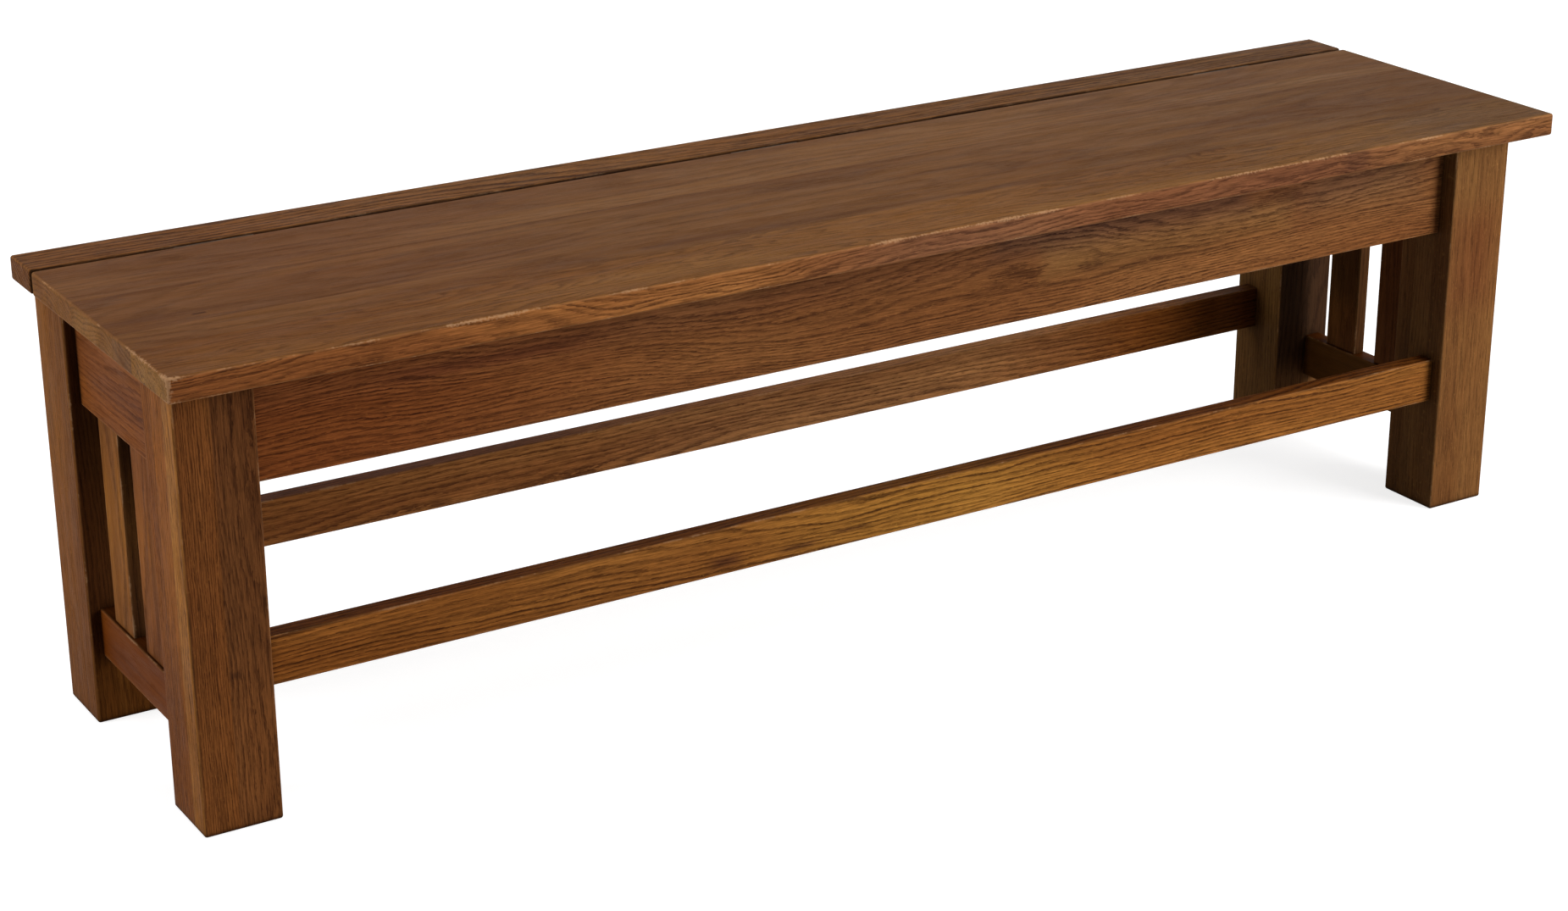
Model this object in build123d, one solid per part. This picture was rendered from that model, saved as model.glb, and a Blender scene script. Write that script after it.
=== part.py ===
from build123d import *
import os

# Mission bench with a lift lid, in millimetres.
# The origin is on the floor under the middle of the top, X runs along the bench, the front faces -Y.

# Top
bench_length = 1579.0
bench_depth = 401.0
bench_height = 457.0
top_thickness = 24.0
end_overhang = 18.0
front_overhang = 44.5
rear_overhang = 5.7
strip_depth = 55.0
seam_width = 5.0
top_edge_radius = 3.0
# Widths of the lid's glued boards, from the seam to the front edge
board_width_shares = [0.313, 0.310, 0.130, 0.247]

# Legs
leg_width = 76.0
leg_edge_radius = 2.8

# Long rails
apron_height = 112.0
apron_thickness = 20.0
apron_setback = 20.7
stretcher_height = 48.5
stretcher_thickness = 20.0
stretcher_setback = 14.7
stretcher_rise = 126.5
rail_edge_radius = 1.5

# End panels
end_rail_height = 105.5
lower_end_rail_height = 49.5
lower_end_rail_rise = 70.0
end_rail_thickness = 20.5
end_rail_setback = 11.6
slat_count = 2
slat_width = 49.5
slat_thickness = 14.0
slat_edge_radius = 1.0

# Mortise and tenon joints
tenon_length = 25.0
tenon_thickness = 10.0
tenon_shoulder = 8.0
slat_tenon_length = 10.0
slat_tenon_thickness = 8.0
slat_tenon_shoulder = 5.0
mortise_end_gap = 0.8

# Storage box
cleat_width = 18.0
cleat_height = 10.0
cleat_edge_radius = 1.2
cleat_lift = 1.5
panel_thickness = 8.0
panel_gap = 0.5
long_cleat_screw_shares = [0.04, 0.27, 0.5, 0.73, 0.96]
short_cleat_screw_shares = [0.15, 0.85]

# Lid battens
batten_width = 40.0
batten_height = 18.0
batten_edge_radius = 2.0
batten_front_gap = 8.0
batten_rear_gap = 34.0
batten_place_shares = [-0.304, 0, 0.304]
batten_screw_shares = [0.12, 0.5, 0.88]

# Dowels under the rear strip
dowel_radius = 4.0
dowel_length = 36.0
dowel_strip_depth = 16.0
dowel_end_gap = 0.8
dowel_tip_chamfer = 0.8

# Butt hinges in the seam
hinge_axis_depth = 3.4
hinge_length = 80.0
hinge_place_shares = [-0.386, 0, 0.386]
hinge_side_gap = 0.3
knuckle_count = 5
knuckle_gap = 0.4
leaf_thickness = 1.4
leaf_lower_margin = 0.5
pin_radius = 1.1
running_gap = 0.05
leaf_screw_shares = [0.12, 0.5, 0.88]

# Folding lid stays
stay_plate_thickness = 1.6
stay_arm_thickness = 2.0
stay_arm_width = 13.0
stay_side_gap = 0.3
# Places of the pivots as shares of the span from the rear leg to the front leg
stay_foot_share = 0.0855
stay_elbow_share = 0.7435
stay_head_share = 0.5725
stay_foot_drop = 49.0
stay_elbow_drop = 25.5
stay_head_drop = 9.0
foot_plate_width = 18.0
foot_plate_length = 45.0
foot_plate_screw_shares = [0.5, 0.86]
head_plate_length = 36.0
head_plate_depth = 20.0
head_plate_screw_shares = [0.18, 0.82]
head_ear_width = 16.0
rivet_radius = 2.5
rivet_head_radius = 4.5
rivet_head_height = 1.2

# Screws: head radius, shank radius and length
screw_gap = 0.05
leaf_screw_head = 2.4
leaf_screw_shank = 1.2
leaf_screw_length = 14.0
wood_screw_head = 3.6
wood_screw_shank = 1.8
wood_screw_length = 28.0
plate_screw_head = 2.8
plate_screw_shank = 1.5
plate_screw_length = 12.0

overrun = 1.0

# Places that several pieces share
top_underside = bench_height - top_thickness
leg_x = bench_length / 2 - end_overhang - leg_width / 2
front_leg_y = -bench_depth / 2 + front_overhang + leg_width / 2
rear_leg_y = bench_depth / 2 - rear_overhang - leg_width / 2
leg_inner_x = leg_x - leg_width / 2
front_leg_back = front_leg_y + leg_width / 2
rear_leg_front = rear_leg_y - leg_width / 2
leg_span = rear_leg_front - front_leg_back

front_apron_y = front_leg_y - leg_width / 2 + apron_setback + apron_thickness / 2
rear_apron_y = rear_leg_y + leg_width / 2 - apron_setback - apron_thickness / 2
apron_bottom = top_underside - apron_height
front_apron_back = front_apron_y + apron_thickness / 2
rear_apron_front = rear_apron_y - apron_thickness / 2

front_stretcher_y = front_leg_y - leg_width / 2 + stretcher_setback + stretcher_thickness / 2
rear_stretcher_y = rear_leg_y + leg_width / 2 - stretcher_setback - stretcher_thickness / 2

end_rail_x = leg_x + leg_width / 2 - end_rail_setback - end_rail_thickness / 2
end_rail_inner = end_rail_x - end_rail_thickness / 2
end_rail_bottom = top_underside - end_rail_height
lower_end_rail_top = lower_end_rail_rise + lower_end_rail_height

strip_front = bench_depth / 2 - strip_depth
lid_back = strip_front - seam_width
lid_front = -bench_depth / 2

cleat_bottom = max(end_rail_bottom, apron_bottom) + cleat_lift
cleat_top = cleat_bottom + cleat_height
panel_top = cleat_top + panel_thickness

hinge_y = strip_front - seam_width / 2
hinge_z = bench_height - hinge_axis_depth
barrel_radius = seam_width / 2 - hinge_side_gap
leaf_bottom = top_underside + top_edge_radius + leaf_lower_margin
hinge_places = [share * bench_length for share in hinge_place_shares]
batten_places = [share * bench_length for share in batten_place_shares]

stay_foot_y = rear_leg_front - stay_foot_share * leg_span
stay_foot_z = top_underside - stay_foot_drop
stay_elbow_y = rear_leg_front - stay_elbow_share * leg_span
stay_elbow_z = stay_foot_z - stay_elbow_drop
stay_head_y = rear_leg_front - stay_head_share * leg_span
stay_head_z = top_underside - stay_head_drop

# Layers of a stay, from the end rail's inner face towards the middle of the bench
foot_plate_inner = stay_plate_thickness
lower_arm_outer = foot_plate_inner + stay_side_gap
lower_arm_inner = lower_arm_outer + stay_arm_thickness
upper_arm_outer = lower_arm_inner + stay_side_gap
upper_arm_inner = upper_arm_outer + stay_arm_thickness
head_ear_outer = upper_arm_inner + stay_side_gap
head_ear_inner = head_ear_outer + stay_plate_thickness

parts = {}


def block(low, high):
    """A box between two opposite corners."""
    centre = [(a + b) / 2 for a, b in zip(low, high)]
    size = [abs(b - a) for a, b in zip(low, high)]
    return Pos(*centre) * Box(*size)


def bar(low, high, along, radius):
    """A box whose long edges are rounded."""
    return fillet(block(low, high).edges().filter_by(along), radius)


def group(pieces):
    """Separate solids that share one node."""
    return Compound([piece.solid() for piece in pieces])


def aimed(shape, place, outward):
    """A shape made along +Z, set at a place with its +Z end facing outward."""
    return Plane(origin=place, z_dir=outward).location * shape


def mirrored(shape):
    """The same piece on the other end of the bench."""
    return mirror(shape, about=Plane.YZ)


# Screws and rivets, made along Z with the head's flat face at zero


def screw_body(head, shank, length):
    head_height = head - shank
    tip_height = 2 * shank
    profile = Polyline(
        (0, 0),
        (head, 0),
        (shank, -head_height),
        (shank, -length + tip_height),
        (0, -length),
        close=True,
    )
    return revolve(Plane.XZ * make_face(profile), Axis.Z)


def screw(head, shank, length):
    """A countersunk screw with a straight slot."""
    slot_width = (head - shank) / 2
    slot_depth = (head - shank) / 2
    slot = block((-head, -slot_width / 2, -slot_depth), (head, slot_width / 2, head))
    return screw_body(head, shank, length) - slot


def screw_hole(head, shank, length):
    """The space that a screw needs, with a little clearance all round."""
    mouth = Pos(0, 0, overrun / 2) * Cylinder(head + screw_gap, overrun)
    return screw_body(head + screw_gap, shank + screw_gap, length + screw_gap) + mouth


def rivet(start, end):
    """A rivet from start to end with a round head beyond its end."""
    shank = Pos(0, 0, (start + end) / 2) * Cylinder(rivet_radius, end - start)
    head = Pos(0, 0, end + rivet_head_height / 2) * Cylinder(rivet_head_radius, rivet_head_height)
    rim = head.faces().sort_by(Axis.Z)[-1].edges()
    return shank + fillet(rim, rivet_head_height / 2)


# Legs


def tenon_heights(bottom, top):
    return bottom + tenon_shoulder, top - tenon_shoulder


def leg(side, end_y, facing):
    """One leg: side is -1 left or +1 right, facing is -1 front or +1 rear."""
    low = (side * leg_x - leg_width / 2, end_y - leg_width / 2, 0)
    high = (side * leg_x + leg_width / 2, end_y + leg_width / 2, top_underside)
    shape = block(low, high)
    foot_edges = shape.faces().sort_by(Axis.Z)[0].edges()
    shape = fillet(shape.edges().filter_by(Axis.Z) + foot_edges, leg_edge_radius)
    long_rails = [
        (front_apron_y if facing < 0 else rear_apron_y, apron_bottom, top_underside),
        (front_stretcher_y if facing < 0 else rear_stretcher_y, stretcher_rise,
         stretcher_rise + stretcher_height),
    ]
    mouth = side * (leg_inner_x - overrun)
    end = side * (leg_inner_x + tenon_length + mortise_end_gap)
    for rail_y, bottom, top in long_rails:
        low_z, high_z = tenon_heights(bottom, top)
        shape -= block((mouth, rail_y - tenon_thickness / 2, low_z), (end, rail_y + tenon_thickness / 2, high_z))
    mouth = end_y - facing * (leg_width / 2 + overrun)
    end = end_y - facing * (leg_width / 2 - tenon_length - mortise_end_gap)
    for bottom, top in ((end_rail_bottom, top_underside), (lower_end_rail_rise, lower_end_rail_top)):
        low_z, high_z = tenon_heights(bottom, top)
        middle = side * end_rail_x
        shape -= block((middle - tenon_thickness / 2, mouth, low_z), (middle + tenon_thickness / 2, end, high_z))
    if facing > 0:
        shape -= dowel_hole(side * leg_x)
    return shape


# Long rails


def long_rail(middle_y, thickness, bottom, top):
    """A rail between the left and right legs, with a tenon at each end."""
    shape = bar(
        (-leg_inner_x, middle_y - thickness / 2, bottom),
        (leg_inner_x, middle_y + thickness / 2, top),
        Axis.X,
        rail_edge_radius,
    )
    low_z, high_z = tenon_heights(bottom, top)
    reach = leg_inner_x + tenon_length
    half = tenon_thickness / 2
    return shape + block((-reach, middle_y - half, low_z), (reach, middle_y + half, high_z))


# End panels


def end_rail(side, bottom, top):
    """A rail between a front and a rear leg, with a tenon at each end."""
    middle = side * end_rail_x
    shape = bar(
        (middle - end_rail_thickness / 2, front_leg_back, bottom),
        (middle + end_rail_thickness / 2, rear_leg_front, top),
        Axis.Y,
        rail_edge_radius,
    )
    low_z, high_z = tenon_heights(bottom, top)
    half = tenon_thickness / 2
    low = (middle - half, front_leg_back - tenon_length, low_z)
    high = (middle + half, rear_leg_front + tenon_length, high_z)
    return shape + block(low, high)


def slat_places():
    """Middles of the slats, with equal gaps between the legs."""
    gap = (leg_span - slat_count * slat_width) / (slat_count + 1)
    first = front_leg_back + gap + slat_width / 2
    return [first + index * (gap + slat_width) for index in range(slat_count)]


def slat_tenons(side, slat_y, extra):
    """The two stub tenons of a slat as one tall box, longer by extra at each end."""
    middle = side * end_rail_x
    half_width = slat_width / 2 - slat_tenon_shoulder
    reach = slat_tenon_length + extra
    low = (middle - slat_tenon_thickness / 2, slat_y - half_width, lower_end_rail_top - reach)
    high = (middle + slat_tenon_thickness / 2, slat_y + half_width, end_rail_bottom + reach)
    return block(low, high)


def slat(side, slat_y):
    middle = side * end_rail_x
    low = (middle - slat_thickness / 2, slat_y - slat_width / 2, lower_end_rail_top)
    high = (middle + slat_thickness / 2, slat_y + slat_width / 2, end_rail_bottom)
    return bar(low, high, Axis.Z, slat_edge_radius) + slat_tenons(side, slat_y, 0)


def end_panel(side, word):
    """The rails and slats between a front and a rear leg."""
    top_rail = end_rail(side, end_rail_bottom, top_underside)
    bottom_rail = end_rail(side, lower_end_rail_rise, lower_end_rail_top)
    for slat_y in slat_places():
        mortises = slat_tenons(side, slat_y, mortise_end_gap)
        top_rail -= mortises
        bottom_rail -= mortises
    for place, outward in cleat_screw_places():
        if outward[0] == -side:
            top_rail -= wood_screw_hole(place, outward)
    if side < 0:
        top_rail -= foot_plate_screw_holes()
    else:
        top_rail -= mirrored(foot_plate_screw_holes())
    parts[f"end_rail_top_{word}"] = top_rail
    parts[f"end_rail_bottom_{word}"] = bottom_rail
    for name, slat_y in zip(("front", "rear"), slat_places()):
        parts[f"slat_{word}_{name}"] = slat(side, slat_y)


# Storage box


def cleat_runs():
    """Each cleat's low corner, high corner and long axis."""
    near = front_apron_back
    far = rear_apron_front
    reach = leg_inner_x - panel_gap
    side_low = front_leg_back + panel_gap
    side_high = rear_leg_front - panel_gap
    return {
        "front": ((-reach, near, cleat_bottom), (reach, near + cleat_width, cleat_top), Axis.X),
        "rear": ((-reach, far - cleat_width, cleat_bottom), (reach, far, cleat_top), Axis.X),
        "left": ((-end_rail_inner, side_low, cleat_bottom),
                 (-end_rail_inner + cleat_width, side_high, cleat_top), Axis.Y),
        "right": ((end_rail_inner - cleat_width, side_low, cleat_bottom),
                  (end_rail_inner, side_high, cleat_top), Axis.Y),
    }


def cleat_screw_places():
    """Head place and outward direction of each screw through a cleat."""
    places = []
    height = (cleat_bottom + cleat_top) / 2
    runs = cleat_runs()
    for share in long_cleat_screw_shares:
        across = (2 * share - 1) * leg_inner_x
        places.append(((across, runs["front"][1][1], height), (0, 1, 0)))
        places.append(((across, runs["rear"][0][1], height), (0, -1, 0)))
    for share in short_cleat_screw_shares:
        along = front_leg_back + share * leg_span
        places.append(((runs["left"][1][0], along, height), (1, 0, 0)))
        places.append(((runs["right"][0][0], along, height), (-1, 0, 0)))
    return places


def wood_screw_hole(place, outward):
    return aimed(screw_hole(wood_screw_head, wood_screw_shank, wood_screw_length), place, outward)


def storage_bottom():
    """A plywood panel on the cleats, notched round the legs."""
    half_length = end_rail_inner - panel_gap
    near = front_apron_back + panel_gap
    far = rear_apron_front - panel_gap
    shape = block((-half_length, near, cleat_top), (half_length, far, panel_top))
    notch_x = leg_inner_x - panel_gap
    for side in (-1, 1):
        for inner, outer in ((front_leg_back + panel_gap, near - overrun), (rear_leg_front - panel_gap, far + overrun)):
            low = (side * notch_x, inner, cleat_top - overrun)
            high = (side * (half_length + overrun), outer, panel_top + overrun)
            shape -= block(low, high)
    return shape


# Rear strip and its dowels


def dowel_places():
    return [share * leg_x for share in (-1, -0.5, 0, 0.5, 1)]


def dowel(place):
    low = top_underside + dowel_strip_depth - dowel_length
    shape = Pos(place, rear_apron_y, low + dowel_length / 2) * Cylinder(dowel_radius, dowel_length)
    return chamfer(shape.edges().filter_by(GeomType.CIRCLE), dowel_tip_chamfer)


def dowel_hole(place):
    length = dowel_length + 2 * dowel_end_gap
    low = top_underside + dowel_strip_depth - dowel_length - dowel_end_gap
    return Pos(place, rear_apron_y, low + length / 2) * Cylinder(dowel_radius + screw_gap, length)


def rear_strip():
    low = (-bench_length / 2, strip_front, top_underside)
    high = (bench_length / 2, bench_depth / 2, bench_height)
    shape = block(low, high)
    shape = fillet(shape.edges(), top_edge_radius)
    for place in dowel_places():
        shape -= dowel_hole(place)
    for place in leaf_screw_places(1):
        shape -= leaf_screw_hole(place, (0, -1, 0))
    return shape


# Lid


def lid_panel():
    """All the lid's boards as one panel, with the holes of its screws."""
    low = (-bench_length / 2, lid_front, top_underside)
    high = (bench_length / 2, lid_back, bench_height)
    shape = fillet(block(low, high).edges(), top_edge_radius)
    for place in leaf_screw_places(-1):
        shape -= leaf_screw_hole(place, (0, 1, 0))
    for place in batten_screw_places():
        shape -= wood_screw_hole(place, (0, 0, -1))
    for place in head_plate_screw_places():
        hole = plate_screw_hole(place, (0, 0, -1))
        shape -= hole
        shape -= mirrored(hole)
    return shape


def lid_boards():
    """The panel cut into its boards, from the seam to the front edge."""
    panel = lid_panel()
    depth = lid_back - lid_front
    back = lid_back + overrun
    used = 0
    boards = []
    for index, share in enumerate(board_width_shares):
        used += share
        last = index == len(board_width_shares) - 1
        front = lid_front - overrun if last else lid_back - used * depth
        low = (-bench_length, front, top_underside - overrun)
        high = (bench_length, back, bench_height + overrun)
        boards.append(panel & block(low, high))
        back = front
    return boards


def batten_ends():
    return front_apron_back + batten_front_gap, rear_apron_front - batten_rear_gap


def batten(middle):
    front, rear = batten_ends()
    low = (middle - batten_width / 2, front, top_underside - batten_height)
    high = (middle + batten_width / 2, rear, top_underside)
    shape = block(low, high)
    shape = fillet(shape.faces().sort_by(Axis.Z)[0].edges(), batten_edge_radius)
    for place in batten_screw_places():
        if abs(place[0] - middle) < batten_width:
            shape -= wood_screw_hole(place, (0, 0, -1))
    return shape


def batten_screw_places():
    front, rear = batten_ends()
    return [
        (middle, front + share * (rear - front), top_underside - batten_height)
        for middle in batten_places
        for share in batten_screw_shares
    ]


# Butt hinges


def leaf_screw_places(side):
    """Head places on the gap face of each leaf: side is -1 lid or +1 strip."""
    face = hinge_y + side * (seam_width / 2 - leaf_thickness)
    height = (leaf_bottom + hinge_z - barrel_radius - hinge_side_gap) / 2
    return [
        (middle + (share - 0.5) * hinge_length, face, height)
        for middle in hinge_places
        for share in leaf_screw_shares
    ]


def leaf_screw_hole(place, outward):
    return aimed(screw_hole(leaf_screw_head, leaf_screw_shank, leaf_screw_length), place, outward)


def leaf(middle, side):
    """One hinge leaf with its knuckles: side is -1 lid or +1 strip."""
    wood = hinge_y + side * seam_width / 2
    gap_face = wood - side * leaf_thickness
    start = middle - hinge_length / 2
    plate_top = hinge_z - barrel_radius - hinge_side_gap
    shape = block((start, gap_face, leaf_bottom), (start + hinge_length, wood, plate_top))
    pitch = (hinge_length + knuckle_gap) / knuckle_count
    knuckle_length = pitch - knuckle_gap
    bore_radius = pin_radius + running_gap
    for index in range(knuckle_count):
        if (index % 2 == 0) == (side > 0):
            low_x = start + index * pitch
            high_x = low_x + knuckle_length
            shape += block((low_x, gap_face, plate_top - overrun), (high_x, wood, hinge_z - bore_radius))
            centre = (low_x + knuckle_length / 2, hinge_y, hinge_z)
            shape += Pos(*centre) * Rot(0, 90, 0) * Cylinder(barrel_radius, knuckle_length)
    bore = Pos(middle, hinge_y, hinge_z) * Rot(0, 90, 0) * Cylinder(bore_radius, hinge_length + overrun)
    shape -= bore
    for place in leaf_screw_places(side):
        if abs(place[0] - middle) < hinge_length:
            shape -= leaf_screw_hole(place, (0, -side, 0))
    return shape


def hinge_pin(middle):
    shape = Pos(middle, hinge_y, hinge_z) * Rot(0, 90, 0) * Cylinder(pin_radius, hinge_length)
    return chamfer(shape.edges().filter_by(GeomType.CIRCLE), pin_radius / 4)


# Folding lid stays, made at the left end


def at_layer(depth, y, z):
    """A place on the left stay, depth inward from the end rail."""
    return (-end_rail_inner + depth, y, z)


def plate_screw_hole(place, outward):
    return aimed(screw_hole(plate_screw_head, plate_screw_shank, plate_screw_length), place, outward)


def rivet_hole(y, z, outer, inner):
    length = inner - outer + 2 * overrun
    centre = at_layer((outer + inner) / 2, y, z)
    return Pos(*centre) * Rot(0, 90, 0) * Cylinder(rivet_radius + running_gap, length)


def arm(start, end, outer, inner):
    """A flat arm with round ends and a rivet hole at each, between two (y, z) places."""
    run = Vector(0, end[0] - start[0], end[1] - start[1])
    slot = SlotCenterToCenter(run.length, stay_arm_width)
    middle = at_layer(outer, (start[0] + end[0]) / 2, (start[1] + end[1]) / 2)
    shape = extrude(Plane(origin=middle, x_dir=run, z_dir=(1, 0, 0)) * slot, inner - outer)
    for y, z in (start, end):
        shape -= rivet_hole(y, z, outer, inner)
    return shape


def foot_plate_screw_places():
    top = stay_foot_z + foot_plate_width / 2
    return [
        at_layer(foot_plate_inner, stay_foot_y, top - share * foot_plate_length)
        for share in foot_plate_screw_shares
    ]


def foot_plate_screw_holes():
    return group([plate_screw_hole(place, (1, 0, 0)) for place in foot_plate_screw_places()])


def foot_plate():
    """The plate on the end rail that the lower arm turns on."""
    top = stay_foot_z + foot_plate_width / 2
    low = at_layer(0, stay_foot_y - foot_plate_width / 2, top - foot_plate_length)
    high = at_layer(foot_plate_inner, stay_foot_y + foot_plate_width / 2, top)
    shape = block(low, high)
    shape = fillet(shape.edges().filter_by(Axis.X), foot_plate_width / 3)
    shape -= rivet_hole(stay_foot_y, stay_foot_z, 0, foot_plate_inner)
    for place in foot_plate_screw_places():
        shape -= plate_screw_hole(place, (1, 0, 0))
    return shape


def head_plate_screw_places():
    near = stay_head_y - head_plate_length / 2
    depth = (head_ear_inner + head_plate_depth) / 2 + head_ear_outer / 2
    height = top_underside - stay_plate_thickness
    return [at_layer(depth, near + share * head_plate_length, height) for share in head_plate_screw_shares]


def head_plate():
    """The angle plate under the lid that the upper arm turns on."""
    low = at_layer(head_ear_outer, stay_head_y - head_plate_length / 2, top_underside - stay_plate_thickness)
    high = at_layer(head_ear_outer + head_plate_depth, stay_head_y + head_plate_length / 2, top_underside)
    flange = block(low, high)
    ear_low = at_layer(head_ear_outer, stay_head_y - head_ear_width / 2, stay_head_z)
    ear_high = at_layer(head_ear_inner, stay_head_y + head_ear_width / 2, top_underside)
    centre = at_layer((head_ear_outer + head_ear_inner) / 2, stay_head_y, stay_head_z)
    round_end = Pos(*centre) * Rot(0, 90, 0) * Cylinder(head_ear_width / 2, stay_plate_thickness)
    shape = flange + block(ear_low, ear_high) + round_end
    shape -= rivet_hole(stay_head_y, stay_head_z, head_ear_outer, head_ear_inner)
    for place in head_plate_screw_places():
        shape -= plate_screw_hole(place, (0, 0, -1))
    return shape


def foot_rivet():
    """Holds the lower arm on the foot plate, with its head on the inner side."""
    shape = rivet(0, lower_arm_inner + stay_side_gap)
    return aimed(shape, at_layer(0, stay_foot_y, stay_foot_z), (1, 0, 0))


def head_rivet():
    """Holds the upper arm on the head plate, with a head at both ends."""
    shape = rivet(0, head_ear_inner - upper_arm_outer + stay_side_gap)
    tail = Pos(0, 0, -rivet_head_height / 2) * Cylinder(rivet_head_radius, rivet_head_height)
    return aimed(shape + tail, at_layer(head_ear_inner, stay_head_y, stay_head_z), (-1, 0, 0))


def elbow_rivet():
    """The lower arm's half of the elbow, with its head on the outer side."""
    shape = rivet(0, stay_arm_thickness)
    return aimed(shape, at_layer(lower_arm_inner, stay_elbow_y, stay_elbow_z), (-1, 0, 0))


def elbow_cap():
    """The upper arm's half of the elbow, with its head on the inner side."""
    shape = rivet(0, stay_arm_thickness)
    return aimed(shape, at_layer(upper_arm_outer, stay_elbow_y, stay_elbow_z), (1, 0, 0))


# The whole bench


def add_both_ends(name, shape):
    parts[f"{name}_left"] = shape
    parts[f"{name}_right"] = mirrored(shape)


for side, word in ((-1, "left"), (1, "right")):
    parts[f"leg_front_{word}"] = leg(side, front_leg_y, -1)
    parts[f"leg_rear_{word}"] = leg(side, rear_leg_y, 1)
    end_panel(side, word)

front_apron = long_rail(front_apron_y, apron_thickness, apron_bottom, top_underside)
rear_apron = long_rail(rear_apron_y, apron_thickness, apron_bottom, top_underside)
for place, outward in cleat_screw_places():
    if outward == (0, 1, 0):
        front_apron -= wood_screw_hole(place, outward)
    if outward == (0, -1, 0):
        rear_apron -= wood_screw_hole(place, outward)
for place in dowel_places()[1:-1]:
    rear_apron -= dowel_hole(place)
parts["apron_front"] = front_apron
parts["apron_rear"] = rear_apron

stretcher_top = stretcher_rise + stretcher_height
parts["stretcher_front"] = long_rail(front_stretcher_y, stretcher_thickness, stretcher_rise, stretcher_top)
parts["stretcher_rear"] = long_rail(rear_stretcher_y, stretcher_thickness, stretcher_rise, stretcher_top)

for name, (low, high, along) in cleat_runs().items():
    cleat = bar(low, high, along, cleat_edge_radius)
    for place, outward in cleat_screw_places():
        cleat -= wood_screw_hole(place, outward)
    parts[f"bottom_cleat_{name}"] = cleat
parts["storage_bottom"] = storage_bottom()

wood_screw = screw(wood_screw_head, wood_screw_shank, wood_screw_length)
leaf_screw = screw(leaf_screw_head, leaf_screw_shank, leaf_screw_length)
plate_screw = screw(plate_screw_head, plate_screw_shank, plate_screw_length)
parts["cleat_screws"] = group([aimed(wood_screw, *spot) for spot in cleat_screw_places()])

parts["strip_rear"] = rear_strip()
parts["strip_dowels"] = group([dowel(place) for place in dowel_places()])

for number, board in enumerate(lid_boards(), start=1):
    parts[f"lid_board_{number}"] = board
for word, middle in zip(("left", "middle", "right"), batten_places):
    parts[f"lid_batten_{word}"] = batten(middle)
parts["batten_screws"] = group([aimed(wood_screw, place, (0, 0, -1)) for place in batten_screw_places()])

for word, middle in zip(("left", "middle", "right"), hinge_places):
    parts[f"hinge_leaf_lid_{word}"] = leaf(middle, -1)
    parts[f"hinge_leaf_strip_{word}"] = leaf(middle, 1)
    parts[f"hinge_pin_{word}"] = hinge_pin(middle)
parts["hinge_screws_lid"] = group([aimed(leaf_screw, place, (0, 1, 0)) for place in leaf_screw_places(-1)])
parts["hinge_screws_strip"] = group([aimed(leaf_screw, place, (0, -1, 0)) for place in leaf_screw_places(1)])

foot = (stay_foot_y, stay_foot_z)
elbow = (stay_elbow_y, stay_elbow_z)
head = (stay_head_y, stay_head_z)
add_both_ends("stay_foot_plate", foot_plate())
add_both_ends("stay_head_plate", head_plate())
add_both_ends("stay_arm_lower", arm(foot, elbow, lower_arm_outer, lower_arm_inner))
add_both_ends("stay_arm_upper", arm(head, elbow, upper_arm_outer, upper_arm_inner))
add_both_ends("stay_elbow_rivet", elbow_rivet())
add_both_ends("stay_elbow_cap", elbow_cap())
parts["stay_foot_rivets"] = group([foot_rivet(), mirrored(foot_rivet())])
parts["stay_head_rivets"] = group([head_rivet(), mirrored(head_rivet())])
foot_screws = [aimed(plate_screw, place, (1, 0, 0)) for place in foot_plate_screw_places()]
head_screws = [aimed(plate_screw, place, (0, 0, -1)) for place in head_plate_screw_places()]
parts["stay_foot_screws"] = group(foot_screws + [mirrored(piece) for piece in foot_screws])
parts["stay_head_screws"] = group(head_screws + [mirrored(piece) for piece in head_screws])

os.makedirs("parts", exist_ok=True)
for node, shape in parts.items():
    export_step(shape, f"parts/{node}.step")
print(len(parts), "nodes")
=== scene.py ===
import math

import bpy
from mathutils import Matrix, Vector


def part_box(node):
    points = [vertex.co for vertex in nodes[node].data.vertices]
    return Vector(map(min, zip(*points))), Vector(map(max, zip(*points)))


# Looks of the mission bench. Lengths are in metres in the CAD frame, whose x is 0 at the bench's middle.
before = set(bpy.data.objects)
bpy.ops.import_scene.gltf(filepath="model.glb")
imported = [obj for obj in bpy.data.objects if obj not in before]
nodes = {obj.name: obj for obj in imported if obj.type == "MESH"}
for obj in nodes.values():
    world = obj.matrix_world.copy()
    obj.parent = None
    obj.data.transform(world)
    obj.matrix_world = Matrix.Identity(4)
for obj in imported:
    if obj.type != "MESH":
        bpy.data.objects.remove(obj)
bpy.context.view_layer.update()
scene = bpy.context.scene
scene.view_settings.view_transform = "Standard"

# Tints on a board's own tone, for its stain, rings, pores and flecks
PLAIN_TINT, PALE_TINT = (0.9, 0.88, 0.9), (1.2, 1.26, 1.28)
WARM_TINT, DEEP_TINT = (1.13, 0.95, 0.8), (0.23, 0.2, 0.27)
PORE_TINT, FLECK_TINT = (0.22, 0.19, 0.25), (1.6, 1.75, 1.6)

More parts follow.
